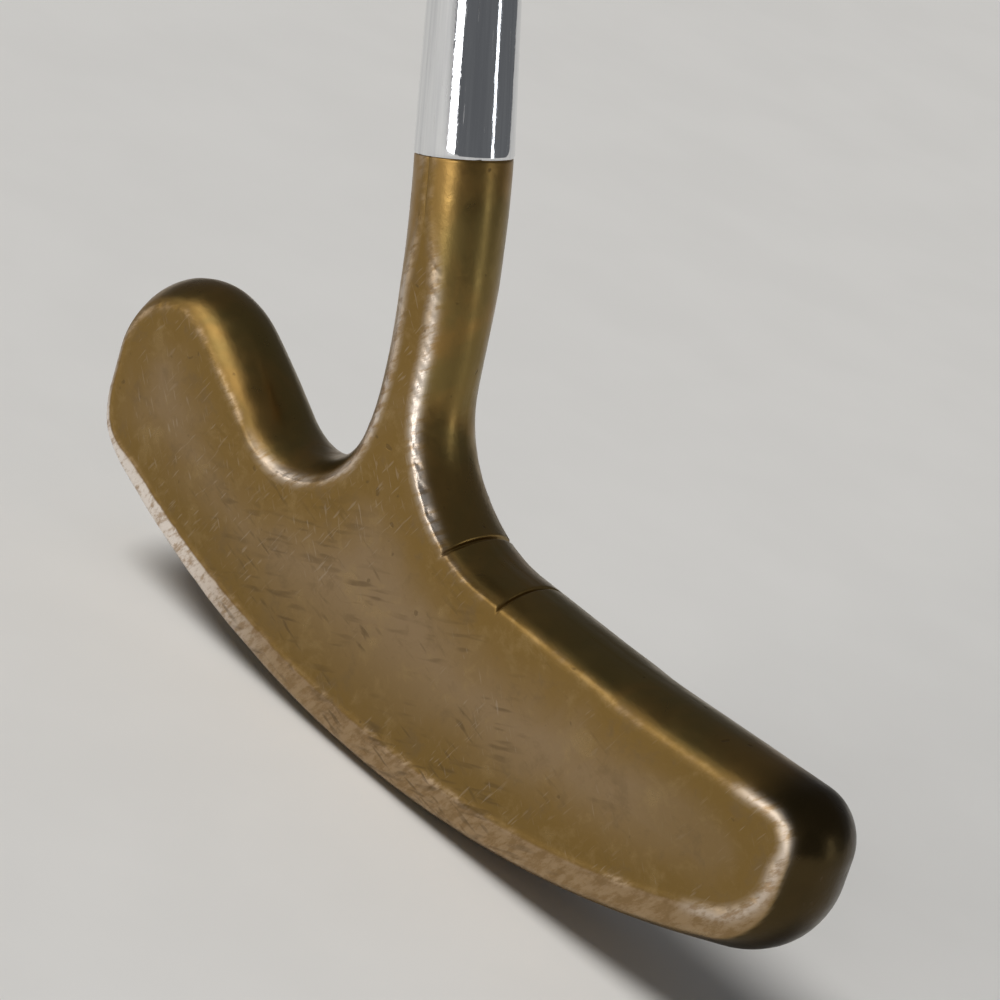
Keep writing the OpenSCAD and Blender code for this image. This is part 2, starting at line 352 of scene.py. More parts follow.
def sharp_section(s):
    """(inset, y) at distance s along the section from the middle plane, with sharp corners."""
    a = np.minimum(s, arc_end) / arc_r
    inset, y = arc_r * (1 - np.cos(a)), arc_r * np.sin(a)
    f = np.clip((s - arc_end) / np.maximum(bevel_length, 1e-6), 0, 1)
    inset, y = inset + bevel * f, y + (half - crown_half) * f
    beyond = np.maximum(s - edge_s, 0)
    return inset + beyond, y + beyond * face_rise


TAPS = np.linspace(-2.2, 2.2, 11)
TAP_WEIGHTS = np.exp(-0.5 * TAPS ** 2) / np.exp(-0.5 * TAPS ** 2).sum()


def worn_section(s, sigma):
    """The sharp section averaged over a Gaussian of width sigma, which rounds its corners."""
    inset, y = 0, 0
    for t, w in zip(TAPS, TAP_WEIGHTS):
        i, j = sharp_section(np.maximum(s + t * sigma, 0))
        inset, y = inset + w * i, y + w * j
    return inset, y


wear = 0.16 + 0.20 * smooth_noise(along, 5.0, 3) * smooth_noise(along, 1.6, 4)
wear = wear + 0.10 * ramp(px, 45, 12) + 0.12 * ramp(px, -40, -12)
wear = (wear + 0.34 * ramp(px, 10, 10) * ramp(pz, 24, 5)
        + 0.26 * ramp(px, -30, -6) * ramp(pz, 24, 6))
# the rings on the face close up where the neck's facet is narrow
face_room = np.where(in_neck, (NECK_R - edge_inset) * 0.8 / INNER_GAP, 1.0)
face_room = np.minimum(face_room, 1.0)

rings = []  # each ring's distance along the section and its gap, per station
for k in range(CENTRE_RINGS + 1):
    s = (edge_s - RING_GAPS[0]) * k / CENTRE_RINGS
    rings.append((s, edge_s - s))
for g in RING_GAPS[1:]:
    gap = np.full(COUNT, g) if g > 0 else g * face_room
    rings.append((edge_s - gap, gap))
HALF_RINGS = len(rings) - 1


def dents(side):
    """Nicks along the worn edges: [place along, gap, length, width, depth, slant]."""
    r = np.random.default_rng(40 + side)
    out = []

    def scatter(count, low, high, gap, length, depth, slant):
        for _ in range(count):
            out.append([r.uniform(low, high), gap + r.normal(0, 0.28), r.uniform(*length),
                        r.uniform(0.18, 0.42), r.uniform(*depth), slant + r.normal(0, 0.5)])

    total = along[-1]
    sole_from = along[np.argmax((px > 50) & (pz < 16))]
    sole_to = along[np.argmax((px < -50) & (pz < 14))]
    # foot of the neck, top line, toe, sole, heel, lobe, and the neck's foot on the other side
    scatter(70, -14, 14, 0.15, (0.10, 0.28), (0.05, 0.17), 1.1)
    scatter(26, 16, 72, 0.0, (0.10, 0.40), (0.01, 0.045), 0.4)
    scatter(14, 72, sole_from, 0.1, (0.2, 0.8), (0.04, 0.14), 0.3)
    scatter(90, sole_from, sole_to, 0.1, (0.12, 0.6), (0.02, 0.10), 0.8)
    scatter(26, sole_to - 30, sole_to + 18, 0.4, (0.15, 0.5), (0.04, 0.13), 0.9)
    scatter(34, sole_to + 18, total - 40, 0.0, (0.15, 0.6), (0.02, 0.09), 0.4)
    scatter(70, total - 48, total - 6, 0.1, (0.10, 0.26), (0.04, 0.13), 1.1)
    # shallow ones anywhere on the crown
    for _ in range(60):
        out.append([r.uniform(-20, total), r.uniform(0.8, 6.5), r.uniform(0.15, 0.6),
                    r.uniform(0.10, 0.25), r.uniform(0.005, 0.03), r.normal(0, 1.2)])
    return out


def ring_points(side):
    """All ring points of one half, as (rings, stations, 3), with nicks pressed in."""
    marks = dents(side)
    pts = np.zeros((HALF_RINGS + 1, COUNT, 3))
    for k, (s, gap) in enumerate(rings):
        at_crown_edge = np.exp(-((s - arc_end) / 0.9) ** 2) * ramp(bevel, 0.4, 1.0)
        sigma = wear + 0.38 * at_crown_edge * ramp(gap, 0.8, 1.0)
        inset, y = worn_section(s, sigma) if k > 0 else sharp_section(s)
        # a soft wander of the surface, as cast and hand-finished
        wander = 0.05 * (smooth_noise(along + 40 * side, 9.0, 20 + k // 6) - 0.5)
        press = np.zeros(COUNT)
        for place, mark_gap, length, width, depth, slant in marks:
            d_along = along - place
            near = np.abs(d_along) < 2.5 + abs(slant)
            if not near.any():
                continue
            d_gap = gap[near] - mark_gap
            skewed = d_along[near] - slant * d_gap * 0.6
            press[near] += depth * np.exp(-(skewed / length) ** 2 - (d_gap / (width + 0.25)) ** 2)
        press *= ramp(gap, -1.0, 0.5)
        # a nick is pressed inward on the crown and turns toward Y near the face
        tilt = np.clip(y / np.maximum(half, 1), 0, 1) ** 2
        d = groove + press * (0.35 + 0.65 * (1 - tilt)) + wander * ramp(gap, 0, 2)
        y = y - press * 0.8 * tilt
        pts[k, :, 0] = px - ox * (inset + d)
        pts[k, :, 1] = side * y
        pts[k, :, 2] = pz - oz * (inset + d)
    # the rounded rim at the shaft's end
    rim = 0.27
    for i in np.nonzero(in_neck & (down < rim))[0]:
        shrink = rim - math.sqrt(rim ** 2 - (rim - down[i]) ** 2)
        middle = NECK_TOP - ACROSS * NECK_BEND * down[i] ** 2 - UP * down[i]
        centre = np.array([middle[0], 0, middle[1]])
        pts[:, i] = centre + (pts[:, i] - centre) * (1 - shrink / NECK_R)
    return pts


front, back = ring_points(-1), ring_points(1)
verts = list((front[0] + back[0]) / 2)
gap_of = [rings[0][1]]
for points_of_side in (front, back):
    for k in range(1, HALF_RINGS + 1):
        verts += list(points_of_side[k])
        gap_of.append(rings[k][1])


def vertex(k, i):
    """Vertex of ring k (negative in front, positive behind) at station i."""
    if k == 0:
        return i
    return (-k if k < 0 else HALF_RINGS + k) * COUNT + i


faces = []
for k in range(-HALF_RINGS, HALF_RINGS):
    for i in range(COUNT - 1):
        faces.append((vertex(k, i), vertex(k, i + 1), vertex(k + 1, i + 1), vertex(k + 1, i)))
# kept for every vertex: its gap to the face's edge, and the height of the bevel at its station
gap_values = list(np.concatenate(gap_of))
bevel_values = list(np.concatenate([bevel] * (2 * HALF_RINGS + 1)))


def room_inside(outline, q):
    """Distance from a point to the outline round it, or 0 if the point is outside."""
    a, b = outline, np.roll(outline, -1, axis=0)
    ab, aq = b - a, q - a
    crossed = (a[:, 1] > q[1]) != (b[:, 1] > q[1])
    xs = a[:, 0] + (q[1] - a[:, 1]) * ab[:, 0] / np.where(ab[:, 1] == 0, 1e-9, ab[:, 1])
    if (crossed & (q[0] < xs)).sum() % 2 == 0:
        return 0.0
    t = np.clip((aq * ab).sum(1) / np.maximum((ab * ab).sum(1), 1e-9), 0, 1)
    return np.hypot(*(aq - ab * t[:, None]).T).min()


FACE_COLUMNS, FACE_PITCH, FACE_MARGIN = 6, 1.6, 0.7
columns_of_neck_end = {}
for side in (-1, 1):
    k = side * HALF_RINGS
    ring = [vertex(k, i) for i in range(COUNT)]
    # the neck's facet: strips between its two sides
    columns = []
    for j in range(NECK_N + 1):
        a, b = ring[j], ring[COUNT - 1 - j]
        row = [a]
        for c in range(1, FACE_COLUMNS):
            f = c / FACE_COLUMNS
            row.append(len(verts))
            verts.append(verts[a] * (1 - f) + verts[b] * f)
            gap_values.append(-INNER_GAP - 2 * min(f, 1 - f))
            bevel_values.append(0.0)
        row.append(b)
        columns.append(row)
    columns_of_neck_end[side] = columns[0]
    for j in range(NECK_N):
        for c in range(FACE_COLUMNS):
            faces.append((columns[j][c], columns[j + 1][c],
                          columns[j + 1][c + 1], columns[j][c + 1]))
    # blade face: its outline plus a grid of points inside
    loop = ring[NECK_N:COUNT - NECK_N] + columns[NECK_N][-2:0:-1]
    outline = np.array([[verts[v][0], verts[v][2]] for v in loop])
    grid = []
    for gx in np.arange(-60, 62, FACE_PITCH):
        for gz in np.arange(2, 50, FACE_PITCH):
            q = np.array([gx + 0.25 * (int(gz * 10) % 3), gz])
            room = room_inside(outline, q)
            if room > FACE_MARGIN:
                grid.append((q, room))
    base = len(verts)
    for q, room in grid:
        verts.append(np.array([q[0], side * plane_half(q[1]), q[1]]))
        gap_values.append(-INNER_GAP - room)
        bevel_values.append(0.0)
    points = [Vector((float(p[0]), float(p[1]))) for p in outline]
    points += [Vector((float(q[0]), float(q[1]))) for q, _ in grid]
    n = len(outline)
    _, _, tris, origin, _, _ = delaunay_2d_cdt(
        points, [(i, (i + 1) % n) for i in range(n)], [list(range(n))], 1, 1e-5)
    lookup = [loop[o[0]] if o[0] < n else base + o[0] - n for o in origin]
    faces += [tuple(lookup[v] for v in t) for t in tris]

# the flat end of the neck, and the post growing out of it, as one casting
POST_SIDES = 64
top = [vertex(k, 0) for k in range(-HALF_RINGS, HALF_RINGS + 1)]
top += columns_of_neck_end[1][1:-1]
top += [vertex(k, COUNT - 1) for k in range(HALF_RINGS, -HALF_RINGS - 1, -1)]
top += columns_of_neck_end[-1][-2:0:-1]


def post_radius(z):
    """A loose fit in the tube's flared bore, with room for the adhesive."""
    return TIP_R + (SLIM_R - TIP_R) * z / FLARE_LENGTH - WALL - ADHESIVE


POST_EASE, POST_CHAMFER = 0.4, 0.9
post_rings = []
for r, z in ((post_radius(0), 0), (post_radius(POST_LENGTH) - POST_EASE, POST_LENGTH - POST_EASE),
             (post_radius(POST_LENGTH) - POST_CHAMFER, POST_LENGTH)):
    ring = []
    for k in range(POST_SIDES):
        a = k * 2 * math.pi / POST_SIDES
        xz = NECK_TOP + ACROSS * r * math.cos(a) + UP * z
        ring.append(len(verts))
        verts.append(np.array([xz[0], r * math.sin(a), xz[1]]))
        gap_values.append(3.0)
        bevel_values.append(0.0)
    post_rings.append(ring)


def on_neck_end(v):
    """A point's place in the plane of the neck's end."""
    p = np.array(verts[v])
    return Vector((float((p[[0, 2]] - NECK_TOP) @ ACROSS), float(p[1])))


flat_end = top + post_rings[0]
_, _, tris, origin, _, _ = delaunay_2d_cdt(
    [on_neck_end(v) for v in flat_end],
    [(k, (k + 1) % len(top)) for k in range(len(top))]
    + [(len(top) + k, len(top) + (k + 1) % POST_SIDES) for k in range(POST_SIDES)],
    [list(range(len(top)))], 1, 1e-6)
for t in tris:
    corners = [flat_end[origin[v][0]] for v in t]
    if not all(v in post_rings[0] for v in corners):
        faces.append(tuple(corners))
for lower, upper in zip(post_rings, post_rings[1:]):
    faces += band(lower[0], upper[0], POST_SIDES)
faces.append(tuple(post_rings[-1]))

head = new_object("putter_head", verts, faces)
# what the bronze material reads, per vertex: 0 to 1, but the gap in mm
gaps, bevels = np.array(gap_values), np.array(bevel_values)
head_x, _, head_z = np.array(verts).T
past_bevel = gaps - bevels * 1.03
on_bevel = ramp(gaps, -0.1, 0.4) * (1 - ramp(past_bevel, -0.25, 0.7)) * ramp(bevels, 0.3, 0.8)
on_crown = ramp(gaps, 0.1, 1.2)
worn = np.exp(-(np.maximum(np.abs(gaps) - 0.1, 0) / 0.42) ** 2)
worn = np.maximum(worn, 0.35 * np.exp(-(past_bevel / 0.5) ** 2) * ramp(bevels, 0.6, 0.8))
on_top_line = ramp(head_x, 4, 8) * ramp(head_z, 24, 4)
worn = worn * (1 - 0.75 * on_top_line)
# painted highlight on the heel's end of the sole, and bright patches on parts of the face's rim,
# partly rubbing and partly painted highlight
rubbed_and_highlight = on_bevel * ramp(head_x, -14, -26) * ramp(head_z, 38, -12)
on_rim = np.exp(-((gaps - 0.35) / 0.75) ** 2)
on_neck_ridge = ramp(head_x, -22, 4) * ramp(head_z, 24, 8) * ramp(head_z, 64, -16)
on_neck_ridge = on_neck_ridge * ramp(head_x, 2, -4)
on_toe_corner = ramp(head_x, 47, 4)
on_notch = ramp(head_x, -34, 8) * ramp(head_x, -19, -4) * ramp(head_z, 17, 3)
rim_share = np.maximum(0.75 * on_neck_ridge, np.maximum(0.45 * on_toe_corner, 0.6 * on_notch))
rubbed_and_highlight = np.maximum(rubbed_and_highlight, on_rim * rim_share)
# the low part of the face and its toe half are darker
low = ramp(head_z, 20, -14) * ramp(gaps, 0, -1.5) + 0.6 * ramp(head_x, 30, 20)
low = np.clip(low, 0, 1)
on_crown = on_crown * (1 - on_bevel)
struck = ramp(head_x, 46, -34) * ramp(head_x, -46, 24) * ramp(head_z, 32, -14)
# painted shade: this mask darkens the crown toward its toe end
toe = ramp(head_x, 46, 10) * on_crown
for name, values in (("worn", worn), ("crown", on_crown), ("bevel", on_bevel), ("gap", gaps),
                     ("rubbed_and_highlight", rubbed_and_highlight), ("struck", struck), ("toe", toe), ("low", low)):
    attribute = head.data.attributes.new(name, "FLOAT", "POINT")
    attribute.data.foreach_set("value", values.astype(np.float32))
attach(head, "root")
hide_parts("head")

# ------------------------------------------------------------------ shaft: flared, stepped tube
def tube_radius(z):
    """Outer radius of the tube at height z above the head's neck."""
    if z <= FLARE_LENGTH:
        return TIP_R + (SLIM_R - TIP_R) * z / FLARE_LENGTH
    grown = sum(min(1, max(0, (z - FIRST_STEP - k * STEP_PITCH) / STEP_BLEND))
                for k in range(STEPS))
    return SLIM_R + (BUTT_R - SLIM_R) * grown / STEPS


heights = [0, 0.15, 0.35] + list(np.linspace(1, FLARE_LENGTH, 43))
heights += list(np.linspace(FLARE_LENGTH + 4, FIRST_STEP - 2, 24))
STEP_RINGS = np.array([-0.3, 0, 0.25, 0.95, STEP_BLEND, 1.5, 10, 20])
for k in range(STEPS):
    heights += list(FIRST_STEP + k * STEP_PITCH + STEP_RINGS)
heights += [SHAFT_LENGTH - 60, SHAFT_LENGTH - 0.3, SHAFT_LENGTH]
heights = sorted(set(round(h, 3) for h in heights))
TIP_EASE = {0: 0.12, 0.15: 0.03}  # how much the tip's edge is rounded off, by height
outer = [(tube_radius(z) - TIP_EASE.get(z, 0), z) for z in heights]
bore_heights = [0, FLARE_LENGTH, SHAFT_LENGTH]
bore_heights += [FIRST_STEP + k * STEP_PITCH + d for k in range(STEPS) for d in (0, STEP_BLEND)]
inner = [(tube_radius(z) - WALL, z) for z in sorted(bore_heights, reverse=True)]
shaft = turned("shaft_tube", outer + inner, 160)
smooth_by_angle(shaft, 50)
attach(shaft, "root")
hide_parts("shaft")

# ------------------------------------------------------------------ grip: spiral-wound leather
WRAP_PITCH = 24.0
LEATHER_LIP, LIP_FADE = 0.42, 5.5
SEAM_DEPTH, SEAM_WIDTH = 0.5, 0.45
LEATHER_SINK, RELIEF = 0.32, 0.9
END_ROLL, END_RUN = 0.25, 0.8


def grip_outline(radius, flat, angle):
    """Radius of the flat-sided grip in one direction; the flat faces local +X."""
    c = math.cos(angle)
    return min(radius, flat / c) if c > 0.05 else radius


def soft_outline(radius, flat, angle, spread):
    """The same with its corners softened, by a mean over nearby directions."""
    return sum(w * grip_outline(radius, flat, angle + d)
               for w, d in ((0.25, -spread), (0.5, 0), (0.25, spread)))


def wrapped_grip():
    rows, columns = 1280, 240
    pts = []
    for j in range(rows + 1):
        z = GRIP_LOW + GRIP_LENGTH * j / rows
        f = (z - GRIP_LOW) / GRIP_LENGTH
        base = GRIP_R_LOW + (GRIP_R_TOP - GRIP_R_LOW) * f
        for i in range(columns):
            a = 2 * math.pi * i / columns
            r = soft_outline(base, GRIP_FLAT, a, 0.09)
            # one lap of the strip lies over the one below it: thick at its lower edge
            lap = ((z - GRIP_LOW) / WRAP_PITCH - a / (2 * math.pi)) % 1.0
            d_edge = lap * WRAP_PITCH
            lip = LEATHER_LIP * math.exp(-d_edge / LIP_FADE) * ramp(d_edge, 0, 0.5)
            seam = SEAM_DEPTH * math.exp(-(min(d_edge, WRAP_PITCH - d_edge) / SEAM_WIDTH) ** 2)
            ends = min(1.0, (z - GRIP_LOW + 0.01) / END_RUN,
                       (GRIP_LOW + GRIP_LENGTH - z + 0.01) / END_RUN)
            r += (lip - seam - LEATHER_SINK) * RELIEF - END_ROLL * (1 - ends)
            pts.append((r * math.cos(a), r * math.sin(a), z))
    # the inside lies on the former, one leather's thickness in
    base, inner_rows = len(pts), 24
    for j in range(inner_rows + 1):
        f = j / inner_rows
        radius = GRIP_R_LOW + (GRIP_R_TOP - GRIP_R_LOW) * f
        for i in range(columns):
            a = 2 * math.pi * i / columns
            r = grip_outline(radius - LEATHER, GRIP_FLAT - LEATHER, a)
            pts.append((r * math.cos(a), r * math.sin(a), GRIP_LOW + GRIP_LENGTH * f))
    faces = []
    for first, count in ((0, rows), (base, inner_rows)):
        for j in range(count):
            faces += band(first + j * columns, first + (j + 1) * columns, columns)
    faces += band(0, base, columns)
    faces += band(rows * columns, base + inner_rows * columns, columns)
    return new_object("leather_grip", pts, faces, shaft_frame)


leather = wrapped_grip()
smooth_by_angle(leather, 60)
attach(leather, "root")
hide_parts("leather_wrap")

# ------------------------------------------------------------------ grip: thread whipping
THREAD_D = 0.62


def whipping():
    """A thread wound in close turns, as one helical tube with tucked ends."""
    length, sides = 8.4, 10
    turns = length / (THREAD_D * 1.02)
    steps = int(turns * 56)
    pts, faces = [], []
    for k in range(steps + 1):
        f = k / steps
        a = f * turns * 2 * math.pi
        z = GRIP_LOW + 0.35 + f * (length - 0.4)
        tuck = 0.5 * (1 - ease(min(f, 1 - f) * turns * 1.5))
        r = BINDING_R - THREAD_D / 2 - 0.02 - float(tuck)
        for s in range(sides):
            b = s * 2 * math.pi / sides
            rr = r + THREAD_D / 2 * math.cos(b)
            pts.append((rr * math.cos(a), rr * math.sin(a), z + THREAD_D / 2 * math.sin(b)))
    for k in range(steps):
        faces += band(k * sides, (k + 1) * sides, sides)
    faces.append(tuple(range(sides)))
    faces.append(tuple(range(steps * sides + sides - 1, steps * sides - 1, -1)))
    return new_object("thread_whipping", pts, faces, shaft_frame)


thread = whipping()
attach(thread, "root")
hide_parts("thread_binding")

# ------------------------------------------------------------------ grip: collar, end cap and screw
# radius, and height above the lower end of the grip
COLLAR = ((BUTT_R + 0.02, -16), (BUTT_R + 0.7, -16), (BUTT_R + 1.6, -10.5), (BUTT_R + 1.85, -9.6),
          (BUTT_R + 1.85, -8.6), (BUTT_R + 1.6, -7.9), (11.05, -1.2), (11.5, 0.6), (11.5, 4.6),
          (11.1, 6.9), (10.56, 6.9), (10.56, 0.1), (BUTT_R + 0.02, 0.1))
collar = turned("collar_ring", rounded([(r, GRIP_LOW + h) for r, h in COLLAR], 0.5), 128)
smooth_by_angle(collar, 45)
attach(collar, "root")
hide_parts("grip_collar")

SCREW_HEAD_R, SCREW_R, SCREW_HOLE_R = 3.6, 1.75, 1.85
SLOT_DEPTH, SLOT_HALF_WIDTH = 0.9, 0.45
CAP_RIM, CAP_FLAT = GRIP_R_TOP + 0.6, GRIP_FLAT + 0.6


def end_cap():
    """A flat-sided cap with a rolled rim, a shallow dish and a countersunk hole."""
    columns = 160
    # height and inset of each flat-sided row, then radius and height of each round one
    rows = [(0.0, -0.5), (0.25, -0.12), (0.9, 0.0), (CAP_HEIGHT * 0.62, 0.0),
            (CAP_HEIGHT * 0.82, -0.25), (CAP_HEIGHT * 0.95, -0.75), (CAP_HEIGHT, -1.5),
            (CAP_HEIGHT - 0.02, -2.2), (CAP_HEIGHT - 0.25, -2.9), (CAP_HEIGHT - 0.4, -3.6),
            (CAP_HEIGHT - 0.45, -5.0)]
    pts = []
    for h, inset in rows:
        for i in range(columns):
            a = 2 * math.pi * i / columns
            r = soft_outline(CAP_RIM, CAP_FLAT, a, 0.08) + inset
            pts.append((r * math.cos(a), r * math.sin(a), SHAFT_LENGTH + h))
    hole = [(SCREW_HEAD_R + 0.5, CAP_HEIGHT - 0.4), (SCREW_HEAD_R + 0.12, CAP_HEIGHT - 0.55),
            (SCREW_HOLE_R, CAP_HEIGHT - 2.3), (SCREW_HOLE_R, 0.0)]
    for r, h in hole:
        for i in range(columns):
            a = 2 * math.pi * i / columns
            pts.append((r * math.cos(a), r * math.sin(a), SHAFT_LENGTH + h))
    total = len(rows) + len(hole)
    faces = []
    for j in range(total):
        faces += band(j * columns, (j + 1) % total * columns, columns)
    return new_object("grip_end_cap", pts, faces, shaft_frame)


cap = end_cap()
smooth_by_angle(cap, 40)
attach(cap, "root")
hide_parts("end_cap")


def slotted_screw():
    """The countersunk screw, its rim eased and its slot cut through the top."""
    r = SCREW_HEAD_R
    top = CAP_HEIGHT
    profile = [(r - 0.25, top), (r - 0.08, top - 0.05), (r, top - 0.16), (r - 0.1, top - 0.32),
               (SCREW_R, top - 1.95), (SCREW_R, top - 19), (0.6, top - 22)]
    screw = turned("cap_screw_head", profile, 96, closed=False)
    w = SLOT_HALF_WIDTH
    cutter_verts = [(x, y, SHAFT_LENGTH + z) for z in (top - SLOT_DEPTH, top + 1)
                    for x, y in ((-6, -w), (6, -w), (6, w), (-6, w))]
    cutter_faces = [(3, 2, 1, 0), (4, 5, 6, 7),
                    (0, 1, 5, 4), (1, 2, 6, 5), (2, 3, 7, 6), (3, 0, 4, 7)]
    cutter = new_object("slot_cutter", cutter_verts, cutter_faces, shaft_frame)
    screw.data.transform(Matrix.Translation((0, 0, SHAFT_LENGTH * MM)))
    cut = screw.modifiers.new("slot", "BOOLEAN")
    cut.operation, cut.solver, cut.object = "DIFFERENCE", "EXACT", cutter
    bpy.context.view_layer.update()
    cut_screw = screw.evaluated_get(bpy.context.evaluated_depsgraph_get())
    result = bpy.data.meshes.new_from_object(cut_screw)
    screw.modifiers.clear()
    screw.data = result
    bpy.data.objects.remove(cutter)
    return screw


screw = slotted_screw()
smooth_by_angle(screw, 35)
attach(screw, "root")
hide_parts("cap_screw")


# ------------------------------------------------------------------ materials
class Finish:
    """A Principled material whose node tree is written with short calls.

    Underscores in a socket's name stand for spaces, and i0, i1 and so on are sockets by number.
    """

    def __init__(self, name, **sockets):
        self.material = bpy.data.materials.new(name)
        self.material.use_nodes = True
        self.tree = self.material.node_tree
        self.shader = self.tree.nodes["Principled BSDF"]
        self.place = self.tree.nodes.new("ShaderNodeTexCoord").outputs["Object"]
        for key, value in sockets.items():
            self.shader.inputs[key.replace("_", " ")].default_value = value

    def node(self, kind, settings=None, **inputs):
        made = self.tree.nodes.new("ShaderNode" + kind)
        for key, value in (settings or {}).items():
            setattr(made, key, value)
        for key, value in inputs.items():
            by_number = key[0] == "i" and key[1:].isdigit()
            socket = made.inputs[int(key[1:]) if by_number else key]
            if isinstance(value, bpy.types.NodeSocket):
                self.tree.links.new(value, socket)
            else:
                socket.default_value = value
        return made

    def attribute(self, name):
        return self.node("Attribute", {"attribute_name": name}).outputs["Fac"]

    def stretched(self, scale, turn=(0, 0, 0)):
        """Object coordinates turned, then scaled per axis, in features per metre."""
        turned_place = self.node("Mapping", {"vector_type": "POINT"}, Vector=self.place,
                                 Rotation=turn)
        return self.node("Mapping", Vector=turned_place.outputs[0], Scale=scale).outputs[0]

    def noise(self, scale, detail=4.0, rough=0.55, place=None, warp=0.0):
        made = self.node("TexNoise", Vector=place or self.place, Scale=scale, Detail=detail,
                         Roughness=rough, Distortion=warp)
        return made.outputs["Fac"]

    def remap(self, value, low, high, to_low=0.0, to_high=1.0):
        """Maps low..high smoothly to to_low..to_high, and holds the ends."""
        made = self.node("MapRange", {"interpolation_type": "SMOOTHSTEP"}, i0=value, i1=low,
                         i2=high, i3=to_low, i4=to_high)
        return made.outputs[0]

    def math(self, operation, a, b=0.0):
        made = self.node("Math", {"operation": operation}, i0=a, i1=b)
        return made.outputs[0]

    def mix(self, factor, a, b):
        made = self.tree.nodes.new("ShaderNodeMix")
        made.data_type = "RGBA"
        for socket, value in ((made.inputs[0], factor), (made.inputs[6], a), (made.inputs[7], b)):
            if isinstance(value, bpy.types.NodeSocket):
                self.tree.links.new(value, socket)
            elif isinstance(value, tuple):
                socket.default_value = (*value, 1.0)
            else:
                socket.default_value = value
        return made.outputs[2]

    def drive(self, **links):
        for key, value in links.items():
            self.tree.links.new(value, self.shader.inputs[key.replace("_", " ")])

    def bump(self, height, distance_mm):
        made = self.node("Bump", Height=height, Distance=distance_mm * MM, Strength=1.0)
        self.drive(Normal=made.outputs[0])


def strokes(f, width_mm, length_mm, turn, low, high, patch_mm):
    """Short soft strokes, all near one slope on the face, gathered in patches."""
    scale = (1000 / length_mm, 1000 / length_mm, 1000 / width_mm)
    place = f.stretched(scale, (0, math.radians(turn), 0))
    marks = f.remap(f.noise(1.0, 1.0, 0.45, place), low, high)
    return f.math("MULTIPLY", marks, f.remap(f.noise(1000 / patch_mm, 2.0, 0.6), 0.42, 0.60))


GREY_BROWN, AMBER, OLIVE = (0.315, 0.218, 0.120), (0.245, 0.148, 0.038), (0.235, 0.165, 0.055)
DARK_MOTTLE, PALE_MOTTLE = (0.200, 0.135, 0.068), (0.42, 0.29, 0.13)
LOW_FACE, BROWN_CROWN = (0.125, 0.088, 0.034), (0.30, 0.18, 0.055)
# painted shade: a near-black brown laid on the crown's toe end
TOE_PAINTED_SHADE = (0.038, 0.028, 0.014)
# the bevel's tones: brushed metal, the pale one partly a painted highlight
BEVEL_DARK, BEVEL_PALE_HIGHLIGHT = (0.29, 0.19, 0.095), (0.42, 0.30, 0.18)
# bright patches, partly rubbing down to bare metal and partly painted highlight; NICKED is worn
# metal
RUBBED_HIGHLIGHT_DARK, RUBBED_HIGHLIGHT_PALE, NICKED = (0.56, 0.42, 0.30), (1.0, 0.92, 0.85), (0.66, 0.50, 0.33)
DARK_MARK, PALE_MARK = (0.095, 0.062, 0.030), (0.55, 0.46, 0.35)


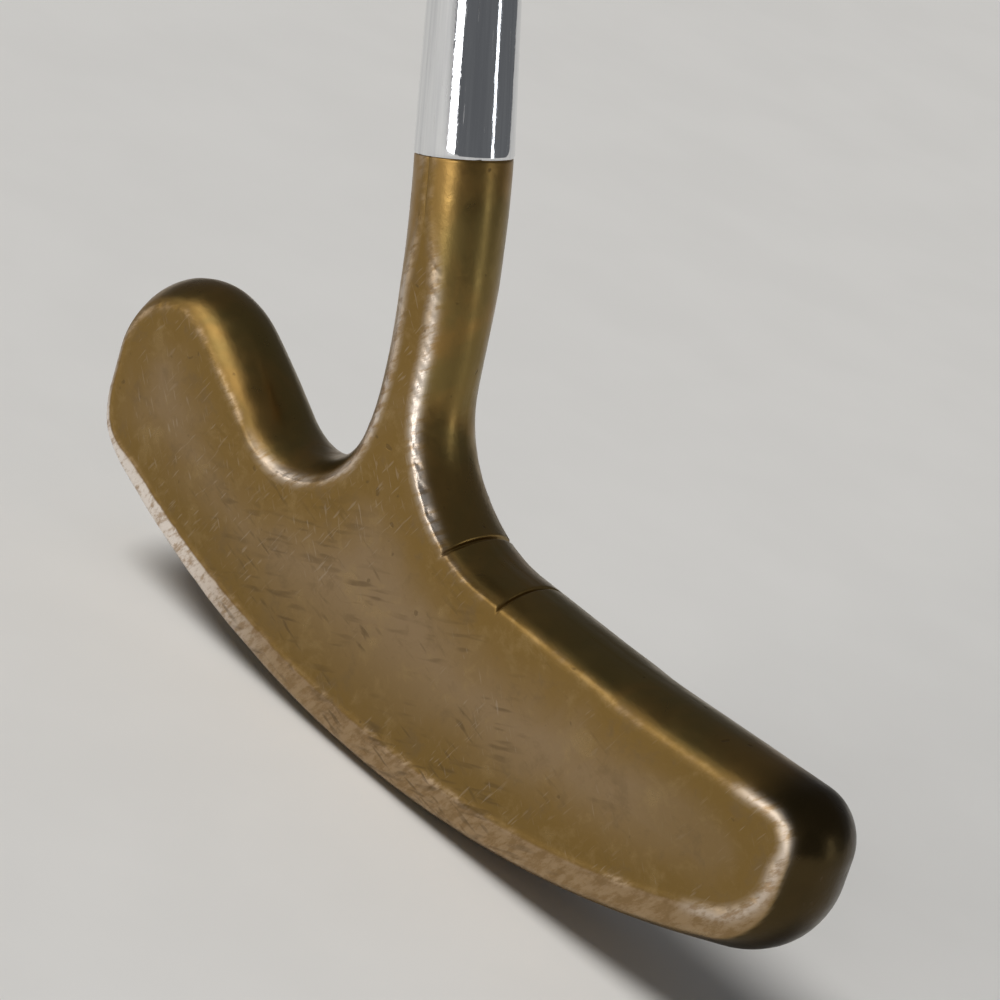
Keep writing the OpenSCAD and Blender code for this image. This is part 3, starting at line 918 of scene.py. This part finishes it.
def bronze():
    """Brown patina with a dark crown and painted shade at its toe end, brushed bevels partly
    painted pale as a highlight, bright edges partly worn and partly painted highlight, and small
    marks.
    """
    f = Finish("patinated_bronze", Metallic=1.0)

    def times(a, b):
        return f.math("MULTIPLY", a, b)

    large = f.noise(62, 4, 0.6, warp=0.6)
    mid = f.noise(240, 6, 0.66, warp=0.3)
    fine = f.noise(1500, 4, 0.6)
    crown, worn, bevel, gap, rubbed_and_highlight, struck = (
        f.attribute(name) for name in ("crown", "worn", "bevel", "gap", "rubbed_and_highlight", "struck"))
    # the face: grey-brown in the middle, amber toward its edge, mottled
    near_edge = f.remap(f.math("ADD", gap, times(large, 12.0)), -5.5, 4.8)
    near_edge = f.math("MAXIMUM", near_edge, times(f.attribute("low"), 0.9))
    colour = f.mix(times(near_edge, 0.9), GREY_BROWN, AMBER)
    colour = f.mix(f.remap(mid, 0.52, 0.68, 0.0, 0.45), colour, DARK_MOTTLE)
    colour = f.mix(f.remap(mid, 0.48, 0.32, 0.0, 0.32), colour, PALE_MOTTLE)
    colour = f.mix(times(f.attribute("low"), 0.26), colour, LOW_FACE)
    # the crown with painted shade at its toe, the bevel with a partly painted pale highlight, the
    # edges bright from rubbing and painted highlight, and the nicked edges
    crown_patina_and_toe_shade = f.mix(f.remap(large, 0.40, 0.62), OLIVE, BROWN_CROWN)
    # painted shade: the crown turns near-black toward the toe
    crown_patina_and_toe_shade = f.mix(f.remap(f.attribute("toe"), 0.0, 1.0, 0.0, 0.92), crown_patina_and_toe_shade, TOE_PAINTED_SHADE)
    colour = f.mix(times(crown, 0.95), colour, crown_patina_and_toe_shade)
    brushed = f.noise(1.0, 4, 0.65, f.stretched((420, 90, 1300), (0, math.radians(52), 0)))
    # brushed bevel, partly painted pale as a highlight along the sole
    bevel_tone_and_highlight = f.mix(f.remap(brushed, 0.36, 0.62), BEVEL_DARK, BEVEL_PALE_HIGHLIGHT)
    colour = f.mix(times(bevel, 0.75), colour, bevel_tone_and_highlight)
    # bright patches: rubbing on the rim's ridges and corners, with painted highlight on the heel's
    # sole bevel and along those ridges
    rubbed_highlight_tone = f.mix(f.remap(brushed, 0.34, 0.56), RUBBED_HIGHLIGHT_DARK, RUBBED_HIGHLIGHT_PALE)
    colour = f.mix(times(rubbed_and_highlight, 0.92), colour, rubbed_highlight_tone)
    patchy = f.remap(f.noise(120, 3, 0.6), 0.44, 0.66, 0.05, 1.0)
    nicked = times(times(worn, patchy), f.remap(brushed, 0.40, 0.66, 0.15, 1.0))
    colour = f.mix(times(nicked, 0.8), colour, NICKED)
    # dark strokes and pits, then pale scratches on the face only
    dark = f.math("MAXIMUM", strokes(f, 0.80, 4.6, 22, 0.54, 0.72, 10),
                  strokes(f, 0.70, 3.4, -16, 0.56, 0.74, 8))
    dark = times(dark, struck)
    pits = f.remap(f.noise(620, 1.0, 0.5), 0.74, 0.79)
    dark = f.math("MAXIMUM", dark, times(pits, 0.8))
    colour = f.mix(times(dark, 0.52), colour, DARK_MARK)
    pale = f.math("MAXIMUM", strokes(f, 0.34, 2.6, 66, 0.64, 0.76, 16),
                  strokes(f, 0.32, 2.2, -48, 0.65, 0.77, 19))
    pale = times(pale, f.remap(gap, 0.0, -0.8))
    colour = f.mix(times(pale, 0.24), colour, PALE_MARK)
    f.drive(Base_Color=colour)
    # the rounded-over edge between face and crown is dull, except on the bright patches of rubbing
    # and painted highlight
    rough = f.math("ADD", f.remap(mid, 0.3, 0.7, 0.27, 0.40), times(dark, 0.12))
    edge_band = times(f.remap(gap, -1.2, -0.1), f.remap(gap, 1.8, 0.6))
    edge_band = times(edge_band, f.math("SUBTRACT", 1.0, rubbed_and_highlight))
    f.drive(Roughness=f.math("ADD", rough, times(edge_band, 0.20)))
    height = f.math("ADD", times(fine, 0.22), times(mid, 1.1))
    height = f.math("SUBTRACT", height, times(dark, 0.4))
    edge = times(f.math("MAXIMUM", worn, rubbed_and_highlight), times(brushed, 2.2))
    f.bump(f.math("ADD", height, edge), 0.055)
    return f.material


def chrome():
    f = Finish("polished_chrome", Metallic=1.0)
    streak = f.noise(1.0, 3, 0.6, f.stretched((1500, 1500, 26)))
    hair = f.noise(1.0, 2, 0.5, f.stretched((6000, 6000, 120)))
    ripple = f.noise(1.0, 4, 0.7, f.stretched((1100, 1100, 420)))
    colour = f.mix(f.remap(streak, 0.3, 0.7), (0.73, 0.74, 0.76), (0.86, 0.87, 0.88))
    scuff = f.remap(hair, 0.64, 0.74)
    colour = f.mix(f.math("MULTIPLY", scuff, 0.32), colour, (0.36, 0.34, 0.33))
    f.drive(Base_Color=colour)
    haze = f.remap(f.noise(160, 3, 0.6), 0.35, 0.7, 0.03, 0.09)
    f.drive(Roughness=f.math("ADD", haze, f.math("MULTIPLY", scuff, 0.25)))
    uneven = f.math("ADD", f.math("MULTIPLY", streak, 0.5), f.math("MULTIPLY", ripple, 1.2))
    f.bump(uneven, 0.012)
    return f.material


def leather_finish():
    f = Finish("brown_leather", Specular_IOR_Level=0.45)
    grain = f.node("TexVoronoi", {"feature": "DISTANCE_TO_EDGE"}, Vector=f.place, Scale=1150.0,
                   Randomness=1.0)
    pebble = f.remap(grain.outputs["Distance"], 0.0, 0.22)
    crease = f.noise(420, 5, 0.65, f.stretched((1, 1, 0.45)))
    tone = f.noise(60, 4, 0.6)
    colour = f.mix(f.remap(tone, 0.35, 0.65), (0.046, 0.024, 0.014), (0.088, 0.047, 0.026))
    colour = f.mix(f.remap(pebble, 0.0, 0.6, 0.65, 0.0), colour, (0.018, 0.010, 0.006))
    colour = f.mix(f.remap(crease, 0.62, 0.75, 0.0, 0.4), colour, (0.15, 0.085, 0.048))
    f.drive(Base_Color=colour)
    f.drive(Roughness=f.remap(crease, 0.3, 0.7, 0.42, 0.62))
    relief = f.math("ADD", f.math("MULTIPLY", pebble, 0.6), f.math("MULTIPLY", crease, 0.7))
    f.bump(relief, 0.09)
    return f.material


def thread_finish():
    f = Finish("waxed_thread", Specular_IOR_Level=0.5)
    strands = f.noise(1.0, 2, 0.5, f.stretched((900, 900, 9000)))
    colour = f.mix(f.remap(strands, 0.3, 0.7), (0.12, 0.022, 0.016), (0.26, 0.055, 0.038))
    f.drive(Base_Color=colour)
    f.drive(Roughness=f.remap(f.noise(500, 3, 0.6), 0.3, 0.7, 0.38, 0.58))
    f.bump(strands, 0.03)
    return f.material


def plastic(name, low, high, rough_low, rough_high, grain_mm):
    f = Finish(name)
    tone = f.noise(110, 4, 0.6)
    f.drive(Base_Color=f.mix(f.remap(tone, 0.35, 0.65), low, high))
    f.drive(Roughness=f.remap(f.noise(300, 4, 0.65), 0.3, 0.7, rough_low, rough_high))
    f.bump(f.noise(1000 / grain_mm, 3, 0.6), 0.012)
    return f.material


def steel_finish():
    f = Finish("turned_steel", Metallic=1.0)
    lines = f.noise(1.0, 3, 0.6, f.stretched((3500, 300, 300)))
    f.drive(Base_Color=f.mix(f.remap(lines, 0.3, 0.7), (0.42, 0.42, 0.43), (0.60, 0.60, 0.61)))
    f.drive(Roughness=f.remap(f.noise(600, 3, 0.6), 0.3, 0.7, 0.24, 0.42))
    f.bump(lines, 0.01)
    return f.material


def fibrous(name, low, high, stretch, rough):
    """Wood, paper tape or rubber: a drawn-out grain between two tones."""
    f = Finish(name)
    grain = f.noise(1.0, 5, 0.65, f.stretched(stretch))
    f.drive(Base_Color=f.mix(f.remap(grain, 0.3, 0.7), low, high))
    f.drive(Roughness=f.remap(grain, 0.3, 0.7, rough, rough + 0.15))
    f.bump(grain, 0.03)
    return f.material


def dress(piece, material):
    piece.data.materials.clear()
    piece.data.materials.append(material)


def dress_cad(node, material):
    """A CAD node keeps its mesh: only the material in its slots changes."""
    for material_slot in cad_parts[node].material_slots:
        material_slot.material = material


BLACK = (0.012, 0.012, 0.013)
dress(head, bronze())
dress(shaft, chrome())
dress(leather, leather_finish())
dress(thread, thread_finish())
dress(collar, plastic("gloss_black", BLACK, (0.020, 0.020, 0.022), 0.12, 0.26, 0.5))
dress(cap, plastic("matte_black", (0.016, 0.016, 0.017), (0.028, 0.028, 0.029), 0.45, 0.62, 0.3))
dress(screw, steel_finish())
dress_cad("post_adhesive",
          plastic("amber_resin", (0.50, 0.36, 0.12), (0.62, 0.48, 0.20), 0.2, 0.34, 0.6))
dress_cad("butt_plug",
          fibrous("beech", (0.36, 0.22, 0.11), (0.52, 0.35, 0.19), (900, 900, 60), 0.5))
dress_cad("grip_tape",
          fibrous("paper_tape", (0.62, 0.57, 0.42), (0.74, 0.70, 0.56), (300, 300, 300), 0.6))
dress_cad("underlisting",
          fibrous("moulded_rubber", BLACK, (0.022, 0.022, 0.023), (500, 500, 500), 0.6))

# ------------------------------------------------------------------ floor, light and camera
FLOOR_REACH = 30.0
FLOOR_DARK, FLOOR_PALE = (0.755, 0.75, 0.735), (0.775, 0.77, 0.755)
CAMERA_PLACE = (0.226136, -0.289138, 0.199866)
VIEW_RIGHT = (0.658117, 0.685737, 0.310814)
VIEW_UP = (-0.503653, 0.094137, 0.858819)
VIEW_BACK = (0.559503, -0.721748, 0.407340)
LENS, SENSOR_WIDTH = 128.2, 36.0
HEAD_CENTRE = (0.0, 0.0, 0.03)
SUN_POWER, SUN_ANGLE, SUN_DIRECTION = 2.55, math.radians(28), (0.50, 0.28, -0.82)
SUN_COLOUR = (1.0, 0.98, 0.95)
SKY_COLOUR, SKY_POWER = (0.92, 0.95, 1.0, 1), 0.13


def staged(name, data):
    obj = bpy.data.objects.new(name, data)
    bpy.context.scene.collection.objects.link(obj)
    return obj


floor_mesh = bpy.data.meshes.new("floor")
floor_corners = [(x * FLOOR_REACH, y * FLOOR_REACH, 0)
                 for x, y in ((-1, -1), (1, -1), (1, 1), (-1, 1))]
floor_mesh.from_pydata(floor_corners, [], [(0, 1, 2, 3)])
floor = staged("floor", floor_mesh)
floor_finish = Finish("pale_floor", Roughness=0.8)
floor_tone = floor_finish.remap(floor_finish.noise(40, 3, 0.5), 0.3, 0.7)
floor_finish.drive(Base_Color=floor_finish.mix(floor_tone, FLOOR_DARK, FLOOR_PALE))
dress(floor, floor_finish.material)

camera_data = bpy.data.cameras.new("camera")
camera_data.lens, camera_data.sensor_width = LENS, SENSOR_WIDTH
camera_data.clip_start = 0.01
camera = staged("camera", camera_data)
axes = [list(row) for row in zip(VIEW_RIGHT, VIEW_UP, VIEW_BACK, CAMERA_PLACE)]
camera.matrix_world = Matrix(axes + [[0, 0, 0, 1]])
bpy.context.scene.camera = camera


def aimed(direction):
    return Vector(direction).to_track_quat("-Z", "Y").to_euler()


def softbox(name, place, width, height, power, colour=(1, 1, 1)):
    """A panel aimed at the head, seen only in reflections: the sun lights the floor evenly."""
    data = bpy.data.lights.new(name, "AREA")
    data.shape, data.size, data.size_y = "RECTANGLE", width, height
    data.energy, data.color = power, colour
    lamp = staged(name, data)
    lamp.location = place
    lamp.rotation_euler = aimed(Vector(HEAD_CENTRE) - Vector(place))
    lamp.visible_diffuse = False
    lamp.visible_camera = False


sun_data = bpy.data.lights.new("sun", "SUN")
sun_data.energy, sun_data.angle, sun_data.color = SUN_POWER, SUN_ANGLE, SUN_COLOUR
sun = staged("sun", sun_data)
sun.rotation_euler = aimed(SUN_DIRECTION)
sun.visible_glossy = False
softbox("front_box", (0.33, -1.45, 0.36), 0.42, 0.7, 5.5)
softbox("high_left", (-0.62, -1.10, 0.66), 1.0, 1.1, 8.5, (1.0, 0.97, 0.93))
softbox("side_strip", (1.30, 0.52, 0.34), 0.13, 0.7, 0.9, (0.93, 0.96, 1.0))
world = bpy.data.worlds.new("world")
bpy.context.scene.world = world
world.use_nodes = True
background = world.node_tree.nodes["Background"]
background.inputs[0].default_value = SKY_COLOUR
background.inputs[1].default_value = SKY_POWER
bpy.context.scene.view_settings.view_transform = "Standard"
